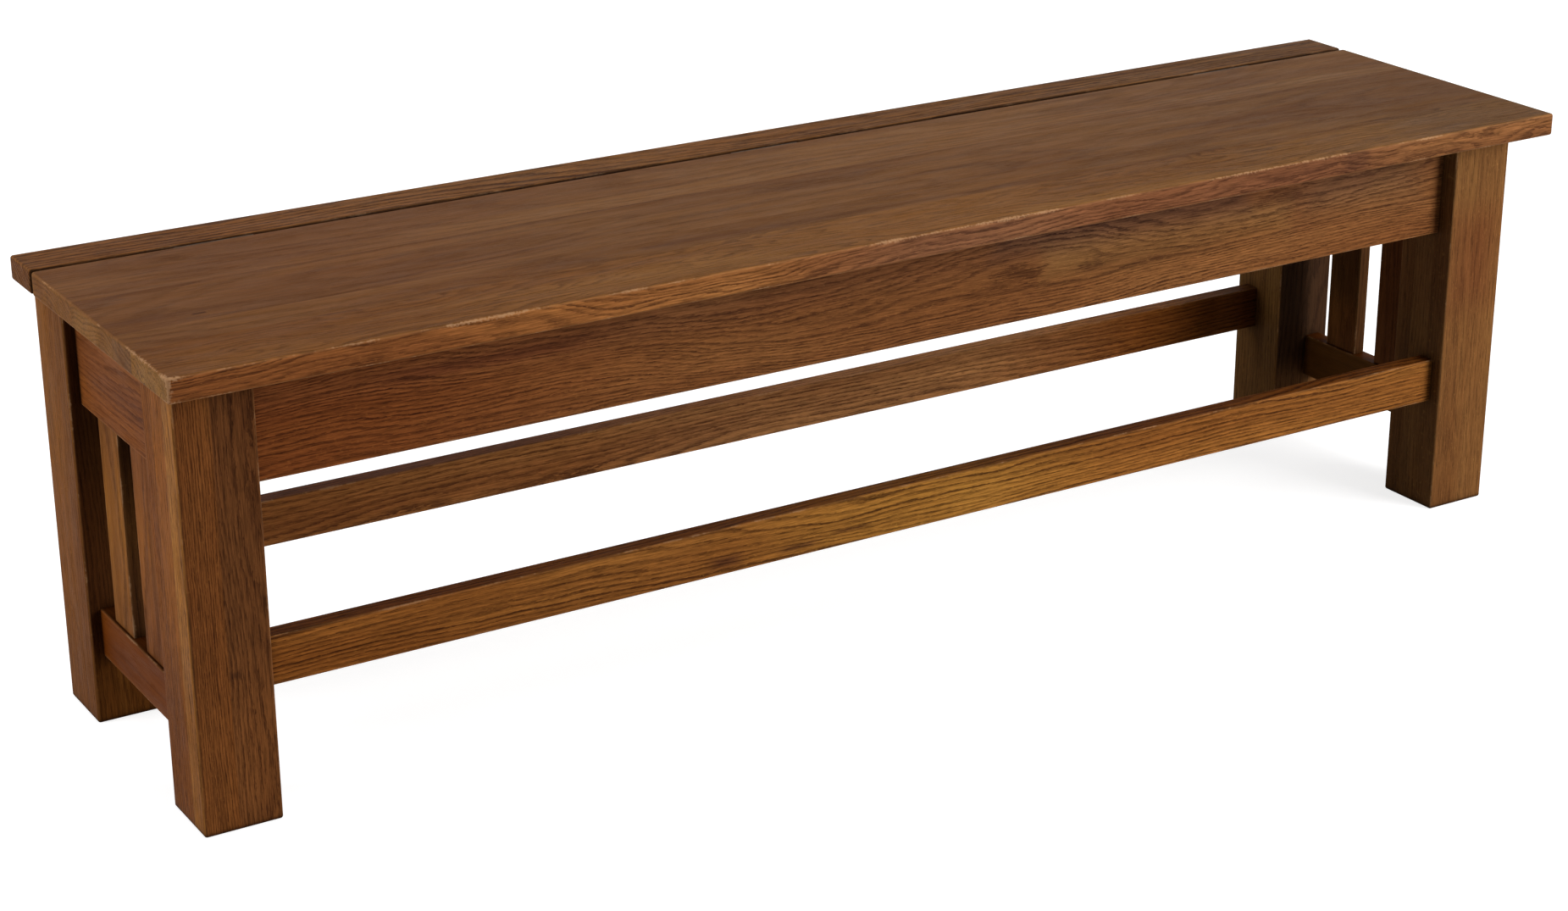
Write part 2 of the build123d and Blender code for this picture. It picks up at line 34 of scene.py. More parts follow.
# Features of the grain in millimetres: along the grain, across the board and through it
SLOW_WANDER, RING_BEND = (520, 130, 130), (150, 34, 34)
FINE_BEND, RAGGED_EDGE = (26, 5, 5), (7, 1.4, 1.4)
RING_PATCH, RING_BREAK = (190, 30, 30), (22, 1.0, 1.0)
DASH, LONG_DASH = (15, 0.8, 0.8), (46, 1.6, 1.6)
BROAD_STREAK, NARROW_STREAK = (620, 30, 60), (310, 8, 24)
BLOTCH, WARM_PATCH = (240, 90, 90), (330, 46, 70)
RIPPLE, ROUGH_PATCH = (30, 1.3, 1.3), (60, 14, 14)

# How far the fine bends and the ragged edges move a ring
FINE_REACH, RAGGED_REACH = 1.8, 2.2
# How far apart in the tree glued strips may lie
STRIP_JUMP = (900.0, 60.0, 40.0)
# A ray fleck's length along the grain, its height along the radius, and its width at this radius
RAY_LENGTH, RAY_HEIGHT, RAY_WIDTH, RAY_RADIUS = 4.5, 11.0, 0.9, 90.0
# A glue spacing and shift that leave a board in one piece along its grain
NO_GLUE, NO_GLUE_SHIFT = 1.0e6, 5.0e5
# The thickness of two plies, and a shift that keeps their places above zero
PLY_PAIR, PLY_START = 2.4, 100.0

# Ring widths vary by this many rings, at this pace and along this row of a noise
UNEVEN_REACH, UNEVEN_PACE, UNEVEN_ROW = 2.2, 0.31, (3.7, 1.1)
# Grey levels by place: one growth ring from its early wood on, and one pair of plies
RING_LEVELS = ((0.0, 1.0), (0.2, 0.85), (0.42, 0.2), (0.68, 0.0), (0.9, 0.05), (1.0, 1.0))
PLY_LEVELS = ((0.0, 0.45), (0.08, 0.9), (0.48, 0.95), (0.5, 0.6), (0.94, 0.65), (1.0, 0.45))
# The grain's tilt in degrees, and how a seed picks a stretch of the tree, in millimetres
GRAIN_TILT = (0, 0.36, 0.6)
SEED_STEP, SEED_SPAN = 1370.0, 9973
TO_MILLIMETRES = 1000.0

# Wear, painted shade in the creases and relief: colours, lengths in metres, and features to the metre
WORN_WOOD, RIM_WOOD = (0.44, 0.25, 0.13), (0.33, 0.16, 0.06)
WORN_LEAST, WORN_REACH = 0.0003, 0.0042
RIM_START, RIM_END, RIM_SHARE = 0.0004, 0.003, 0.32
WOOD_CREASE, METAL_CREASE, CREASE_SAMPLES = 0.012, 0.01, 6
WOOD_RELIEF, METAL_RELIEF = 0.0004, 0.0001
OAK_BUMP, PLYWOOD_BUMP, METAL_BUMP = 0.25, 0.2, 0.2
RUB_SCALE, GRIT_SCALE = (21.0, 21.0, 21.0), (420.0, 420.0, 420.0)
SCRATCH_SCALE = (2600.0, 240.0, 2600.0)
WOOD_SPECULAR = 0.012
METAL_SHADOW = 0.7


# Shader graphs


def rgb(colour):
    return (*colour, 1.0)


class Graph:
    """Short calls that add shader nodes and links to one node tree."""

    def __init__(self, tree):
        self.tree = tree

    def node(self, kind, **fields):
        made = self.tree.nodes.new("ShaderNode" + kind)
        for name, value in fields.items():
            setattr(made, name, value)
        return made

    def put(self, socket, value):
        if isinstance(value, bpy.types.NodeSocket):
            self.tree.links.new(value, socket)
        elif value is not None:
            socket.default_value = value

    def math(self, operation, a, b=None, clamp=False):
        made = self.node("Math", operation=operation, use_clamp=clamp)
        for socket, value in zip(made.inputs, (a, b)):
            self.put(socket, value)
        return made.outputs[0]

    def plus(self, a, b):
        return self.math("ADD", a, b)

    def minus(self, a, b):
        return self.math("SUBTRACT", a, b)

    def times(self, a, b, clamp=False):
        return self.math("MULTIPLY", a, b, clamp)

    def over(self, a, b):
        return self.math("DIVIDE", a, b)

    def absolute(self, a):
        return self.math("ABSOLUTE", a)

    def vector(self, operation, a, b=None, scale=None):
        made = self.node("VectorMath", operation=operation)
        self.put(made.inputs[0], a)
        self.put(made.inputs[1], b)
        if scale is not None:
            self.put(made.inputs["Scale"], scale)
        return made.outputs["Value" if operation == "LENGTH" else "Vector"]

    def split(self, vector):
        made = self.node("SeparateXYZ")
        self.put(made.inputs[0], vector)
        return made.outputs[:]

    def join(self, x, y, z):
        made = self.node("CombineXYZ")
        for socket, value in zip(made.inputs, (x, y, z)):
            self.put(socket, value)
        return made.outputs[0]

    def noise(self, vector, detail=2.0, roughness=0.5):
        """Noise with a mean of one half and features about one unit wide."""
        made = self.node("TexNoise")
        fields = {"Vector": vector, "Scale": 1.0, "Detail": detail, "Roughness": roughness}
        for name, value in fields.items():
            self.put(made.inputs[name], value)
        return made.outputs["Fac"]

    def stretched(self, vector, size, **fields):
        """Noise whose features have these sizes along the three axes."""
        return self.noise(self.vector("MULTIPLY", vector, tuple(1 / s for s in size)), **fields)

    def swing(self, noise, reach):
        """Noise moved to a mean of zero and made this wide."""
        return self.times(self.minus(noise, 0.5), reach)

    def map(self, value, low, high, to_low=0.0, to_high=1.0, smooth=False):
        made = self.node("MapRange", interpolation_type="SMOOTHSTEP" if smooth else "LINEAR")
        for socket, item in zip(made.inputs[:5], (value, low, high, to_low, to_high)):
            self.put(socket, item)
        return made.outputs[0]

    def mix(self, factor, a, b, blend="MIX"):
        """Mix of two colours, whose sockets come after the node's number and vector sockets."""
        made = self.node("Mix", data_type="RGBA", blend_type=blend)
        self.put(made.inputs[0], factor)
        self.put(made.inputs[6], a)
        self.put(made.inputs[7], b)
        return made.outputs[2]

    def tinted(self, colour, tint):
        """Colour times a tint, which is three numbers or a colour socket."""
        tint = tint if isinstance(tint, bpy.types.NodeSocket) else rgb(tint)
        return self.mix(1.0, colour, tint, "MULTIPLY")

    def grey(self, value):
        made = self.node("CombineColor")
        for socket in made.inputs:
            self.put(socket, value)
        return made.outputs[0]

    def curve(self, value, stops):
        """A grey ramp through (place, level) stops."""
        made = self.node("ValToRGB")
        ramp = made.color_ramp
        while len(ramp.elements) > 1:
            ramp.elements.remove(ramp.elements[-1])
        for index, (place, level) in enumerate(stops):
            element = ramp.elements[0] if index == 0 else ramp.elements.new(place)
            element.position = place
            element.color = rgb((level, level, level))
        self.put(made.inputs[0], value)
        return made.outputs["Color"]

    def group(self, tree, **values):
        """Outputs of a group node; an underscore in a value's name stands for a space in its socket's."""
        made = self.node("Group", node_tree=tree)
        for name, value in values.items():
            self.put(made.inputs[name.replace("_", " ")], value)
        return made.outputs

    def occlusion(self, distance):
        made = self.node("AmbientOcclusion", samples=CREASE_SAMPLES)
        made.inputs["Distance"].default_value = distance
        return made.outputs["AO"]

    def relief(self, height, strength, distance):
        made = self.node("Bump")
        made.inputs["Strength"].default_value = strength
        made.inputs["Distance"].default_value = distance
        self.put(made.inputs["Height"], height)
        return made.outputs[0]


def new_group(name, inputs, outputs):
    """A node group with sockets of the given kinds: its tree, graph, input sockets and output sockets."""
    tree = bpy.data.node_groups.new(name, "ShaderNodeTree")
    for way, sockets in (("INPUT", inputs), ("OUTPUT", outputs)):
        for label, kind in sockets.items():
            tree.interface.new_socket(label, in_out=way, socket_type="NodeSocket" + kind)
    start = tree.nodes.new("NodeGroupInput")
    end = tree.nodes.new("NodeGroupOutput")
    return tree, Graph(tree), start.outputs, end.inputs


def make_edge_group():
    """Distance in metres from a point on a box's face to the box's nearest edge."""
    tree, g, start, end = new_group(
        "box_edges",
        inputs={"Place": "Vector", "Centre": "Vector", "Half": "Vector"},
        outputs={"Edge": "Float"},
    )
    offset = g.vector("ABSOLUTE", g.vector("SUBTRACT", start["Place"], start["Centre"]))
    x, y, z = g.split(g.vector("SUBTRACT", start["Half"], offset))
    # The middle one of the three depths below the faces
    low, high = g.math("MINIMUM", x, y), g.math("MAXIMUM", x, y)
    g.put(end["Edge"], g.math("MAXIMUM", low, g.math("MINIMUM", high, z)))
    return tree


def make_oak_group():
    """Solid oak: growth rings round a pith, pores, ray flecks and stain streaks, in millimetres.

    Grain has its axes along the grain, across the board and through it. Straight is Grain before its tilt.
    """
    tree, g, start, end = new_group(
        "solid_oak",
        inputs={
            "Grain": "Vector", "Straight": "Vector", "Glue": "Vector", "Glue Shift": "Vector",
            "Glue Tone": "Float", "Pith": "Vector", "Ring Width": "Float", "Wander": "Float",
            "Ring Depth": "Float", "Pore Depth": "Float", "Fleck": "Float", "Streak": "Float",
            "Ripple": "Float", "Bend": "Float", "Tone": "Color",
        },
        outputs={"Color": "Color", "Rough": "Float", "Height": "Float"},
    )
    tone = start["Tone"]

    # Glued strips: each gets its own stretch of the tree and its own tone
    strip = g.vector("DIVIDE", g.vector("ADD", start["Straight"], start["Glue Shift"]), start["Glue"])
    _, strip_u, strip_v = g.split(g.vector("FLOOR", strip))
    dice = g.node("TexWhiteNoise", noise_dimensions="3D")
    g.put(dice.inputs["Vector"], g.join(0.0, strip_u, strip_v))
    throw = g.vector("SUBTRACT", dice.outputs["Color"], (0.5, 0.5, 0.5))
    p = g.vector("ADD", start["Grain"], g.vector("MULTIPLY", throw, STRIP_JUMP))
    glue_tone = g.swing(dice.outputs["Value"], start["Glue Tone"])

    # Growth rings: the distance from the pith, made uneven at four sizes
    along, u, v = g.split(p)
    _, pith_u, pith_v = g.split(start["Pith"])
    slow = g.swing(g.stretched(p, SLOW_WANDER, detail=1), start["Wander"])
    bend = g.swing(g.stretched(p, RING_BEND, detail=2), start["Bend"])
    fine = g.swing(g.stretched(p, FINE_BEND, detail=2), FINE_REACH)
    ragged = g.swing(g.stretched(p, RAGGED_EDGE, detail=2), RAGGED_REACH)
    from_pith_u, from_pith_v = g.minus(u, pith_u), g.minus(v, pith_v)
    distance = g.vector("LENGTH", g.join(0.0, from_pith_u, from_pith_v))
    radius = g.plus(distance, g.plus(g.plus(slow, ragged), g.plus(bend, fine)))
    count = g.over(radius, start["Ring Width"])
    uneven = g.noise(g.join(g.times(count, UNEVEN_PACE), *UNEVEN_ROW), detail=1)
    count = g.plus(count, g.times(uneven, UNEVEN_REACH))
    early = g.curve(g.math("FRACT", count), RING_LEVELS)
    year = g.node("TexWhiteNoise", noise_dimensions="1D")
    g.put(year.inputs["W"], g.math("FLOOR", count))
    patchy = g.map(g.stretched(p, RING_PATCH, detail=2), 0.3, 0.68, 0.6, 1.2)
    broken = g.map(g.stretched(p, RING_BREAK, detail=2, roughness=0.65), 0.36, 0.62, 0.65, 1.15)
    ring = g.times(early, g.map(year.outputs["Value"], 0.0, 1.0, 0.55, 1.15))
    ring = g.times(g.times(ring, patchy), broken)

    # Pores: long fine dashes, thickest in the early wood
    dash = g.map(g.stretched(p, DASH, detail=2, roughness=0.6), 0.54, 0.64)
    long_dash = g.map(g.stretched(p, LONG_DASH, detail=2, roughness=0.6), 0.55, 0.66)
    pore = g.plus(dash, g.times(long_dash, 0.8))
    pore = g.times(pore, g.map(early, 0.0, 1.0, 0.4, 1.0), clamp=True)

    # Ray flecks: short bright plates that lie along the radius
    round_pith = g.times(g.math("ARCTAN2", from_pith_u, from_pith_v), RAY_RADIUS)
    ray = g.join(g.over(along, RAY_LENGTH), g.over(radius, RAY_HEIGHT), g.over(round_pith, RAY_WIDTH))
    fleck = g.map(g.noise(ray, detail=1), 0.62, 0.74)

    # Stain: broad and narrow streaks along the grain, slow blotches and warm patches
    broad = g.stretched(p, BROAD_STREAK, detail=3, roughness=0.45)
    narrow = g.stretched(p, NARROW_STREAK, detail=3, roughness=0.55)
    blotch = g.stretched(p, BLOTCH, detail=2)
    warm = g.map(g.stretched(p, WARM_PATCH, detail=2), 0.35, 0.65)
    lighter = g.map(g.plus(g.times(broad, 0.6), g.times(blotch, 0.4)), 0.42, 0.62, smooth=True)
    darker = g.times(g.map(narrow, 0.53, 0.7, smooth=True), start["Streak"])
    warmer = g.times(g.map(warm, 0.0, 1.0, 0.0, 0.55), start["Streak"])
    deep = g.tinted(tone, DEEP_TINT)
    colour = g.mix(lighter, g.tinted(tone, PLAIN_TINT), g.tinted(tone, PALE_TINT))
    colour = g.mix(g.times(darker, 0.6), colour, deep)
    colour = g.mix(warmer, colour, g.tinted(colour, WARM_TINT))

    # Rings, pores and flecks over the stain, then the strip's own tone and the fine ripple of the fibres
    colour = g.mix(g.times(ring, start["Ring Depth"]), colour, deep)
    colour = g.mix(g.times(pore, start["Pore Depth"]), colour, g.tinted(tone, PORE_TINT))
    colour = g.mix(g.times(fleck, start["Fleck"]), colour, g.tinted(tone, FLECK_TINT))
    ripple = g.map(g.stretched(p, RIPPLE, detail=3, roughness=0.65), 0.3, 0.7, -0.5, 0.5)
    gain = g.plus(1.0, g.plus(glue_tone, g.times(ripple, start["Ripple"])))
    g.put(end["Color"], g.tinted(colour, g.grey(gain)))

    rough = g.map(g.stretched(p, ROUGH_PATCH, detail=3), 0.3, 0.7, 0.42, 0.58)
    g.put(end["Rough"], g.plus(rough, g.times(pore, 0.12)))
    relief = g.plus(g.times(pore, -1.0), g.times(ring, -0.45))
    g.put(end["Height"], g.plus(relief, g.times(ripple, 0.35)))
    return tree


def make_tint_group():
    """Tints the part of a surface that lies in a soft-sided box, whose y may drift along x by a slope."""
    tree, g, start, end = new_group(
        "tint_box",
        inputs={
            "Color": "Color", "Place": "Vector", "Centre": "Vector", "Half": "Vector", "Soft": "Vector",
            "Slope": "Float", "Tint": "Color",
        },
        outputs={"Color": "Color", "Mask": "Float"},
    )
    offset = g.vector("SUBTRACT", start["Place"], start["Centre"])
    drift = g.times(g.split(offset)[0], start["Slope"])
    offset = g.vector("ABSOLUTE", g.vector("SUBTRACT", offset, g.join(0.0, drift, 0.0)))
    inside = g.vector("DIVIDE", g.vector("SUBTRACT", start["Half"], offset), start["Soft"])
    x, y, z = g.split(inside)
    mask = g.map(g.math("MINIMUM", x, g.math("MINIMUM", y, z)), -0.5, 0.5, smooth=True)
    g.put(end["Color"], g.mix(mask, start["Color"], g.tinted(start["Color"], start["Tint"])))
    g.put(end["Mask"], mask)
    return tree


EDGES = make_edge_group()
OAK = make_oak_group()
TINT = make_tint_group()


# Zones: soft-sided boxes in the CAD frame that tint a material or mark a worn stretch of an edge

# Stands for no limit
FAR = 10.0
# The blur of a sharp side, and how far a zone that holds one face reaches in from that face
SHARP = 0.001
SKIN = 0.0006


def below(limit):
    return (-FAR, limit)


def above(limit):
    return (limit, FAR)


def middle_and_half(low, high):
    low, high = Vector(low), Vector(high)
    return dict(Centre=tuple((low + high) / 2), Half=tuple((high - low) / 2))


def zone(tint=(1, 1, 1), soft=SHARP, x=(-FAR, FAR), y=(-FAR, FAR), z=(-FAR, FAR), slope=0.0):
    """A tint and the box that it fills; soft is the blur of the sides, one number or one for each axis."""
    soft = soft if isinstance(soft, tuple) else (soft, soft, soft)
    return dict(middle_and_half(*zip(x, y, z)), Soft=soft, Slope=slope, Tint=rgb(tint))


def add_tints(g, place, colour, zones):
    for item in zones:
        colour = g.group(TINT, Color=colour, Place=place, **item)["Color"]
    return colour


# Materials

# Which CAD axes run along the grain, across the board and through it
GRAIN_AXES = {"x": (0, 1, 2), "x_face": (0, 2, 1), "y": (1, 2, 0), "z": (2, 0, 1), "z_face": (2, 1, 0)}


def base_material(name):
    material = bpy.data.materials.new(name)
    material.use_nodes = True
    return material, Graph(material.node_tree), material.node_tree.nodes["Principled BSDF"]


def from_middle(g, place, box):
    """A place in the CAD frame as millimetres from the middle of a box."""
    low, high = (Vector(corner) for corner in box)
    return g.vector("SCALE", g.vector("SUBTRACT", place, tuple((low + high) / 2)), scale=TO_MILLIMETRES)


def finish_wood(g, shader, place, colour, wood, edge_box, wear, crease_shade, bump, chips=(), seams=()):
    """Adds worn edges, painted shade along seams, painted shade in the corners and creases, and the
    surface's own shader values.
    """
    edge = g.group(EDGES, Place=place, **middle_and_half(*edge_box))["Edge"]
    rubbed = g.noise(g.vector("MULTIPLY", place, RUB_SCALE), detail=4, roughness=0.65)
    grit = g.noise(g.vector("MULTIPLY", place, GRIT_SCALE), detail=2)
    reach = g.times(g.map(rubbed, 0.47, 0.75), g.map(grit, 0.3, 0.7, 0.5, 1.3))
    for chip in chips:
        spot = g.group(TINT, Place=place, **chip)["Mask"]
        reach = g.plus(reach, g.times(spot, g.map(grit, 0.35, 0.7, 0.1, 0.75)))
    worn_width = g.plus(g.times(reach, WORN_REACH), WORN_LEAST)
    worn = g.map(edge, 0.0, worn_width, 1.0, 0.0, smooth=True)
    worn = g.times(worn, g.map(reach, 0.02, 0.3), clamp=True)
    colour = g.mix(g.times(worn, wear), colour, rgb(WORN_WOOD))
    rim = g.map(edge, RIM_START, RIM_END, 1.0, 0.0, smooth=True)
    colour = g.mix(g.times(rim, RIM_SHARE * wear), colour, rgb(RIM_WOOD))
    colour = add_tints(g, place, colour, seams)
    # Painted shade in the corners and creases, from ambient occlusion
    shade = g.map(g.occlusion(WOOD_CREASE), 0.35, 0.95, 1.0 - crease_shade, 1.0)
    g.put(shader.inputs["Base Color"], g.tinted(colour, g.grey(shade)))
    g.put(shader.inputs["Roughness"], wood["Rough"])
    shader.inputs["Specular IOR Level"].default_value = WOOD_SPECULAR
    g.put(shader.inputs["Normal"], g.relief(wood["Height"], bump, WOOD_RELIEF))


def oak(name, run, box, tone, seed, edge_box=None, pith=(0, -90), ring=4.5, wander=40, bend=9.0, rings=0.5,
        pores=0.5, fleck=0.2, streak=0.4, ripple=0.22, glue=(500, 500), shift=(250, 250), glue_tone=0.1,
        wear=0.5, tints=(), end_grain=(0.8, 0.78, 0.76), crease_shade=0.5, quiet_top=1.0, chips=(), seams=()):
    """Stained oak for a board with this grain direction and this outer box (low corner, high corner).

    ring, wander and bend are in millimetres, and pith, glue and shift too, across the board and through it.
    rings, pores, fleck, streak and ripple are strengths. quiet_top is the share of them, fleck aside, that
    level faces keep.
    """
    material, g, shader = base_material(name)
    coords = g.node("TexCoord")
    place = coords.outputs["Object"]
    parts = g.split(from_middle(g, place, box))
    straight = g.join(*(parts[axis] for axis in GRAIN_AXES[run]))
    tilt = g.node("Mapping")
    g.put(tilt.inputs["Vector"], straight)
    tilt.inputs["Rotation"].default_value = tuple(math.radians(angle) for angle in GRAIN_TILT)
    tilt.inputs["Location"].default_value = (seed * SEED_STEP % SEED_SPAN, 0.0, 0.0)
    normal = g.split(coords.outputs["Normal"])
    if quiet_top < 1:
        flat = g.map(g.absolute(normal[2]), 0.5, 0.9, 1.0, quiet_top)
        rings, pores, ripple, streak = (g.times(flat, depth) for depth in (rings, pores, ripple, streak))
    wood = g.group(
        OAK, Grain=tilt.outputs[0], Straight=straight, Glue=(NO_GLUE, *glue),
        Glue_Shift=(NO_GLUE_SHIFT, *shift), Glue_Tone=glue_tone, Pith=(0.0, *pith), Ring_Width=ring,
        Wander=wander, Ring_Depth=rings, Pore_Depth=pores, Fleck=fleck, Streak=streak, Ripple=ripple,
        Bend=bend, Tone=rgb(tone),
    )
    colour = add_tints(g, place, wood["Color"], tints)
    ends = g.map(g.absolute(normal[GRAIN_AXES[run][0]]), 0.75, 0.97)
    colour = g.mix(ends, colour, g.tinted(colour, end_grain))
    finish_wood(g, shader, place, colour, wood, edge_box or box, wear, crease_shade, OAK_BUMP, chips, seams)
    return material


def plywood(name, box, tone):
    """Veneer with its grain along x on the faces and thin plies on the edges."""
    material, g, shader = base_material(name)
    coords = g.node("TexCoord")
    place = coords.outputs["Object"]
    local = from_middle(g, place, box)
    wood = g.group(
        OAK, Grain=local, Straight=local, Glue=(NO_GLUE, 1000, 1000), Glue_Shift=(NO_GLUE_SHIFT, 500, 500),
        Glue_Tone=0.0, Pith=(0, 40, -400), Ring_Width=7.0, Wander=90.0, Ring_Depth=0.35, Pore_Depth=0.2,
        Fleck=0.05, Streak=0.25, Ripple=0.12, Bend=14.0, Tone=rgb(tone),
    )
    ply = g.math("FRACT", g.over(g.plus(g.split(local)[2], PLY_START), PLY_PAIR))
    side = g.minus(1.0, g.map(g.absolute(g.split(coords.outputs["Normal"])[2]), 0.3, 0.7))
    colour = g.mix(side, wood["Color"], g.tinted(wood["Color"], g.curve(ply, PLY_LEVELS)))
    finish_wood(g, shader, place, colour, wood, box, wear=0.15, crease_shade=0.5, bump=PLYWOOD_BUMP)
    return material


def metal(name, tone, worn_tone, rough_low, rough_high, patches):
    """Plated or patinated metal with soft patches, fine scratches and brighter edges."""
    material, g, shader = base_material(name)
    place = g.node("TexCoord").outputs["Object"]
    cloud = g.noise(g.vector("SCALE", place, scale=patches), detail=3, roughness=0.6)
    scratch = g.noise(g.vector("MULTIPLY", place, SCRATCH_SCALE), detail=2)
    colour = g.mix(g.map(cloud, 0.35, 0.65), rgb(tone), rgb(tuple(v * METAL_SHADOW for v in tone)))
    colour = g.mix(g.map(scratch, 0.52, 0.7, 0.0, 0.35), colour, rgb(worn_tone))
    corner = g.node("NewGeometry").outputs["Pointiness"]
    colour = g.mix(g.map(corner, 0.52, 0.6, 0.0, 0.8), colour, rgb(worn_tone))
    # Painted shade in the creases, from ambient occlusion
    shade = g.map(g.occlusion(METAL_CREASE), 0.2, 0.9, 0.35, 1.0)
    g.put(shader.inputs["Base Color"], g.tinted(colour, g.grey(shade)))
    mottle = g.plus(g.times(cloud, 0.6), g.times(scratch, 0.4))
    g.put(shader.inputs["Roughness"], g.map(mottle, 0.35, 0.65, rough_low, rough_high))
    shader.inputs["Metallic"].default_value = 1.0
    g.put(shader.inputs["Normal"], g.relief(scratch, METAL_BUMP, METAL_RELIEF))
    return material


def dress(name, material):
    """Gives a CAD node its material."""
    data = nodes[name].data
    data.materials.clear()
    data.materials.append(material)


def dress_oak(name, run, **look):
    """Gives a CAD node an oak of its own, fitted to the node's box."""
    dress(name, oak(name, run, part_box(name), **look))


# Camera at the photograph's place, fitted to the bench's corners in the photograph

CAMERA_PLACE = (-1.616184, -2.52891, 1.332573)
CAMERA_YAW, CAMERA_PITCH, CAMERA_ROLL = 31.534, -21.368, -0.2
FOCAL_PIXELS, PHOTO_WIDTH_PIXELS = 3651.494, 1851
SENSOR_MILLIMETRES = 36
CAMERA_SIGHT = 100


def add_camera():
    yaw, pitch, roll = (math.radians(angle) for angle in (CAMERA_YAW, CAMERA_PITCH, CAMERA_ROLL))
    forward = Vector((math.sin(yaw) * math.cos(pitch), math.cos(yaw) * math.cos(pitch), math.sin(pitch)))
    level = Vector((math.cos(yaw), -math.sin(yaw), 0))
    upright = level.cross(forward)
    right = math.cos(roll) * level + math.sin(roll) * upright
    up = math.cos(roll) * upright - math.sin(roll) * level
    camera = bpy.data.objects.new("camera", bpy.data.cameras.new("camera"))
    camera.matrix_world = Matrix((right, up, -forward)).transposed().to_4x4()
    camera.location = CAMERA_PLACE
    camera.data.sensor_width = SENSOR_MILLIMETRES
    camera.data.lens = FOCAL_PIXELS / PHOTO_WIDTH_PIXELS * SENSOR_MILLIMETRES
    camera.data.clip_end = CAMERA_SIGHT
    scene.collection.objects.link(camera)
    scene.camera = camera


add_camera()


# Floor, world and lamps

FLOOR_REACH, FLOOR_DROP = 40, 0.0003
FLOOR_GLOW, FLOOR_GREY, FLOOR_BOUNCE = 0.8, (0.45, 0.45, 0.45), (0.45, 0.44, 0.43)
WORLD_WHITE, WORLD_FILL, WORLD_SHOWN = (1, 1, 1), 0.04, 1.0


def shown_or_lighting(g, lighting, shown, surface):
    """One shader for the rays that show the background and another for those that light the bench."""
    path = g.node("LightPath").outputs
    seen = g.math("MAXIMUM", path["Is Camera Ray"], path["Is Glossy Ray"])
    seen = g.math("MAXIMUM", seen, path["Is Transmission Ray"])
    both = g.node("MixShader")
    for socket, value in zip(both.inputs, (seen, lighting, shown)):
        g.put(socket, value)
    g.put(surface, both.outputs[0])


def diffuse(g, colour):
    made = g.node("BsdfDiffuse")
    made.inputs["Color"].default_value = rgb(colour)
    return made.outputs[0]


def add_floor():
    """A floor that shows white with the bench's soft shadow, and bounces light like pale grey."""
    mesh = bpy.data.meshes.new("floor")
    corners = [(x * FLOOR_REACH, y * FLOOR_REACH, 0) for x, y in ((-1, -1), (1, -1), (1, 1), (-1, 1))]
    mesh.from_pydata(corners, [], [(0, 1, 2, 3)])
    floor = bpy.data.objects.new("floor", mesh)
    floor.location = (0, 0, -FLOOR_DROP)
    scene.collection.objects.link(floor)
    material = bpy.data.materials.new("floor")
    material.use_nodes = True
    tree = material.node_tree
    tree.nodes.remove(tree.nodes["Principled BSDF"])
    g = Graph(tree)
    glow = g.node("Emission")
    glow.inputs["Strength"].default_value = FLOOR_GLOW
    shown = g.node("AddShader")
    g.put(shown.inputs[0], diffuse(g, FLOOR_GREY))
    g.put(shown.inputs[1], glow.outputs[0])
    surface = tree.nodes["Material Output"].inputs["Surface"]
    shown_or_lighting(g, diffuse(g, FLOOR_BOUNCE), shown.outputs[0], surface)
    mesh.materials.append(material)


def add_world():
    """White where it is seen, and a faint even fill where it lights the bench."""
    scene.world = bpy.data.worlds.new("world")
    scene.world.use_nodes = True
    tree = scene.world.node_tree
    g = Graph(tree)
    fill, white = tree.nodes["Background"], g.node("Background")
    for background, strength in ((fill, WORLD_FILL), (white, WORLD_SHOWN)):
        background.inputs["Color"].default_value = rgb(WORLD_WHITE)
        background.inputs["Strength"].default_value = strength
    surface = tree.nodes["World Output"].inputs["Surface"]
    shown_or_lighting(g, fill.outputs[0], white.outputs[0], surface)


def add_lamp(data, direction):
    """Links a lamp that shines from this direction."""
    lamp = bpy.data.objects.new(data.name, data)
    lamp.rotation_mode = "QUATERNION"
    lamp.rotation_quaternion = Vector(direction).to_track_quat("Z", "Y")
    scene.collection.objects.link(lamp)
    return lamp


def add_sun(name, direction, level, angle, sheen=True):
    """A sun; level 1 lights a face turned to it to its own colour, and angle is its width in degrees."""
    data = bpy.data.lights.new(name, "SUN")
    data.energy = math.pi * level
    data.angle = math.radians(angle)
    add_lamp(data, direction).visible_glossy = sheen


def add_softbox(name, place, target, size, watts):
    """A square area lamp that points at its target."""
    data = bpy.data.lights.new(name, "AREA")
    data.energy = watts
    data.shape = "RECTANGLE"
    data.size = data.size_y = size
    add_lamp(data, Vector(place) - Vector(target)).location = place


add_floor()
add_world()
add_sun("sun_front_right", (0.55, -0.75, 0.6), level=0.34, angle=40)
add_sun("sun_top", (0.1, 0.1, 1.0), level=0.515, angle=60)
add_sun("sun_back", (0.12, 1.0, 0.22), level=0.18, angle=50, sheen=False)
add_softbox("softbox_left", place=(-2.5, 0.45, 0.6), target=(-0.78, 0.05, 0.25), size=0.8, watts=26)
add_softbox("softbox_right", place=(2.0, -2.6, 1.2), target=(0.3, -0.1, 0.3), size=1.4, watts=76)


# Top: the lid's four boards, numbered from rear to front, and the fixed strip behind them

lid_box = (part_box("lid_board_4")[0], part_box("lid_board_1")[1])
left_x, front_y = lid_box[0].x, lid_box[0].y
seam_y, top_z = lid_box[1].y, lid_box[1].z
# Painted shade along the seam between the lid and the strip
seam_shade = zone((0.3, 0.3, 0.34), 0.0008, y=(seam_y - 0.0014, seam_y + 0.0064))
